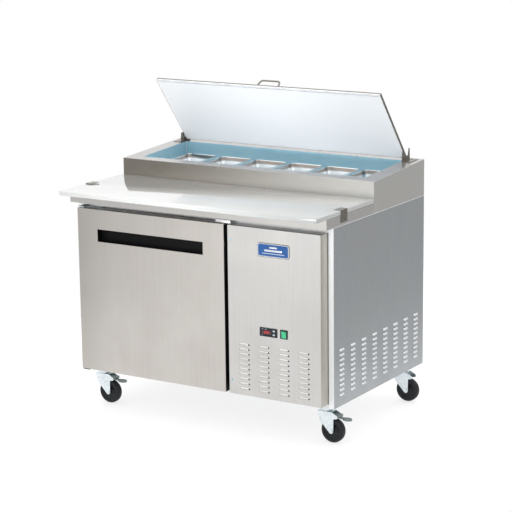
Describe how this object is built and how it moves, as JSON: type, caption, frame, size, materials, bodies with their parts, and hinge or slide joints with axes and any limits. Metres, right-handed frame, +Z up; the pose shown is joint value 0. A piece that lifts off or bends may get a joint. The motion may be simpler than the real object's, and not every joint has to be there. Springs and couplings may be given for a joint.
{
  "type": "sandwich prep table",
  "caption": "Refrigerated sandwich prep table: one-door stainless cabinet on casters, cutting board in front of a raised pan rail under a hinged lid.",
  "frame": {"origin": "centre of the whole table's bounding box, on the floor", "axes": "+Z up, +X to the right as the user faces the door, +Y from the front to the back"},
  "size_m": [1.2588, 0.89, 1.3422],
  "materials": {
    "outer_steel": "brushed stainless steel",
    "bright_steel": "bright rolled stainless steel",
    "liner_metal": "stucco embossed aluminium",
    "board_plastic": "smooth white polyethylene",
    "blue_film": "stainless steel under its blue protective film",
    "foam": "foamed-in-place insulation",
    "black_plastic": "moulded black plastic",
    "gasket_rubber": "soft magnetic seal",
    "badge_enamel": "blue plate with a silver rim, no lettering",
    "rocker_lens": "translucent green",
    "key_plastic": "grey keys",
    "zinc": "bright zinc plate",
    "pedal_steel": "dark coated steel",
    "tyre_rubber": "black wheel tread",
    "machine_black": "black machine enamel",
    "coil_metal": "aluminium fins and blades",
    "shelf_coat": "white epoxy coat"
  },
  "bodies": {
    "cabinet": {"back_panel": "outer_steel", "badge": "badge_enamel", "base_frame": "outer_steel", "cabinet_liner": "liner_metal", "caster_plate_front_left": "zinc", "caster_plate_front_right": "zinc", "caster_plate_rear_left": "zinc", "caster_plate_rear_right": "zinc", "compressor": "machine_black", "condenser_coil": "coil_metal", "controller_housing": "black_plastic", "cord_gland": "black_plastic", "door_hinge_bottom": "pedal_steel", "door_hinge_top": "zinc", "evaporator_housing": "liner_metal", "fan_shroud": "machine_black", "front_frame": "outer_steel", "front_panel": "outer_steel", "insulation_core": "foam", "left_board_clip": "bright_steel", "left_side_panel": "outer_steel", "lid_hinge_left": "bright_steel", "lid_hinge_right": "bright_steel", "pan_rack": "bright_steel", "rail_housing": "outer_steel", "rail_liner": "blue_film", "right_board_clip": "bright_steel", "right_side_panel": "outer_steel", "switch_housing": "black_plastic", "wire_shelf": "shelf_coat", "worktop": "outer_steel"},
    "lid": {"lid_outer_skin": "outer_steel", "lid_inner_panel": "bright_steel", "lid_handle": "bright_steel"},
    "door": {"door_shell": "outer_steel", "door_inner_panel": "liner_metal", "door_gasket": "gasket_rubber", "door_handle": "black_plastic"},
    "board": {"cutting_board": "board_plastic"},
    "rocker": {"switch_rocker": "rocker_lens"},
    "key_upper": {"controller_key_1": "key_plastic"},
    "key_lower": {"controller_key_2": "key_plastic"},
    "condenser_fan": {"condenser_fan": "coil_metal"},
    "evaporator_fan": {"evaporator_fan": "black_plastic"},
    "pan_1": {"food_pan_1": "bright_steel"},
    "pan_2": {"food_pan_2": "bright_steel"},
    "pan_3": {"food_pan_3": "bright_steel"},
    "pan_4": {"food_pan_4": "bright_steel"},
    "pan_5": {"food_pan_5": "bright_steel"},
    "pan_6": {"food_pan_6": "bright_steel"},
    "fork_front_left": {"caster_fork_front_left": "zinc"},
    "wheel_front_left": {"caster_wheel_front_left": "tyre_rubber"},
    "fork_front_right": {"caster_fork_front_right": "zinc"},
    "wheel_front_right": {"caster_wheel_front_right": "tyre_rubber"},
    "fork_rear_left": {"caster_fork_rear_left": "zinc"},
    "wheel_rear_left": {"caster_wheel_rear_left": "tyre_rubber"},
    "fork_rear_right": {"caster_fork_rear_right": "zinc"},
    "wheel_rear_right": {"caster_wheel_rear_right": "tyre_rubber"},
    "pedal_front_left": {"brake_pedal_front_left": "pedal_steel"},
    "pedal_front_right": {"brake_pedal_front_right": "pedal_steel"}
  },
  "joints": [
    {"name": "lid_hinge", "type": "hinge", "parent": "cabinet", "child": "lid", "pos_m": [-0.0206, 0.407, 1.0301], "axis": [-1, 0, 0], "range_deg": [-55.2, 38]},
    {"name": "door_hinge", "type": "hinge", "parent": "cabinet", "child": "door", "pos_m": [-0.5726, -0.3586, 0], "axis": [0, 0, -1], "range_deg": [0, 110], "stiffness_Nm_per_rad": 0.5},
    {"name": "pan_1_lift", "type": "slide", "parent": "cabinet", "child": "pan_1", "axis": [0, 0, 1], "range_m": [0, 0.055]},
    {"name": "pan_2_lift", "type": "slide", "parent": "cabinet", "child": "pan_2", "axis": [0, 0, 1], "range_m": [0, 0.055]},
    {"name": "pan_3_lift", "type": "slide", "parent": "cabinet", "child": "pan_3", "axis": [0, 0, 1], "range_m": [0, 0.055]},
    {"name": "pan_4_lift", "type": "slide", "parent": "cabinet", "child": "pan_4", "axis": [0, 0, 1], "range_m": [0, 0.055]},
    {"name": "pan_5_lift", "type": "slide", "parent": "cabinet", "child": "pan_5", "axis": [0, 0, 1], "range_m": [0, 0.055]},
    {"name": "pan_6_lift", "type": "slide", "parent": "cabinet", "child": "pan_6", "axis": [0, 0, 1], "range_m": [0, 0.055]},
    {"name": "board_slide", "type": "slide", "parent": "cabinet", "child": "board", "axis": [0, -1, 0], "range_m": [0, 0.3]},
    {"name": "rocker_tilt", "type": "hinge", "parent": "cabinet", "child": "rocker", "pos_m": [0.3954, -0.3706, 0.445], "axis": [1, 0, 0], "range_deg": [-18, 0]},
    {"name": "key_upper_press", "type": "slide", "parent": "cabinet", "child": "key_upper", "axis": [0, 1, 0], "range_m": [0, 0.0008], "stiffness_N_per_m": 400},
    {"name": "key_lower_press", "type": "slide", "parent": "cabinet", "child": "key_lower", "axis": [0, 1, 0], "range_m": [0, 0.0008], "stiffness_N_per_m": 400},
    {"name": "condenser_fan_spin", "type": "hinge", "parent": "cabinet", "child": "condenser_fan", "pos_m": [0.34815, -0.2087, 0.2918], "axis": [0, 1, 0], "continuous": true},
    {"name": "evaporator_fan_spin", "type": "hinge", "parent": "cabinet", "child": "evaporator_fan", "pos_m": [-0.23455, 0.3309, 0.7407], "axis": [0, 1, 0], "continuous": true},
    {"name": "swivel_front_left", "type": "hinge", "parent": "cabinet", "child": "fork_front_left", "pos_m": [-0.5606, -0.254, 0], "axis": [0, 0, 1], "continuous": true},
    {"name": "roll_front_left", "type": "hinge", "parent": "fork_front_left", "child": "wheel_front_left", "pos_m": [-0.5326, -0.254, 0.05], "axis": [0, 1, 0], "continuous": true},
    {"name": "swivel_front_right", "type": "hinge", "parent": "cabinet", "child": "fork_front_right", "pos_m": [0.5194, -0.254, 0], "axis": [0, 0, 1], "continuous": true},
    {"name": "roll_front_right", "type": "hinge", "parent": "fork_front_right", "child": "wheel_front_right", "pos_m": [0.5474, -0.254, 0.05], "axis": [0, 1, 0], "continuous": true},
    {"name": "swivel_rear_left", "type": "hinge", "parent": "cabinet", "child": "fork_rear_left", "pos_m": [-0.5606, 0.383, 0], "axis": [0, 0, 1], "continuous": true},
    {"name": "roll_rear_left", "type": "hinge", "parent": "fork_rear_left", "child": "wheel_rear_left", "pos_m": [-0.5326, 0.383, 0.05], "axis": [0, 1, 0], "continuous": true},
    {"name": "swivel_rear_right", "type": "hinge", "parent": "cabinet", "child": "fork_rear_right", "pos_m": [0.5194, 0.383, 0], "axis": [0, 0, 1], "continuous": true},
    {"name": "roll_rear_right", "type": "hinge", "parent": "fork_rear_right", "child": "wheel_rear_right", "pos_m": [0.5474, 0.383, 0.05], "axis": [0, 1, 0], "continuous": true},
    {"name": "brake_front_left", "type": "hinge", "parent": "fork_front_left", "child": "pedal_front_left", "pos_m": [-0.5156, -0.254, 0.111], "axis": [0, 1, 0], "range_deg": [0, 10]},
    {"name": "brake_front_right", "type": "hinge", "parent": "fork_front_right", "child": "pedal_front_right", "pos_m": [0.5644, -0.254, 0.111], "axis": [0, 1, 0], "range_deg": [0, 10]}
  ]
}
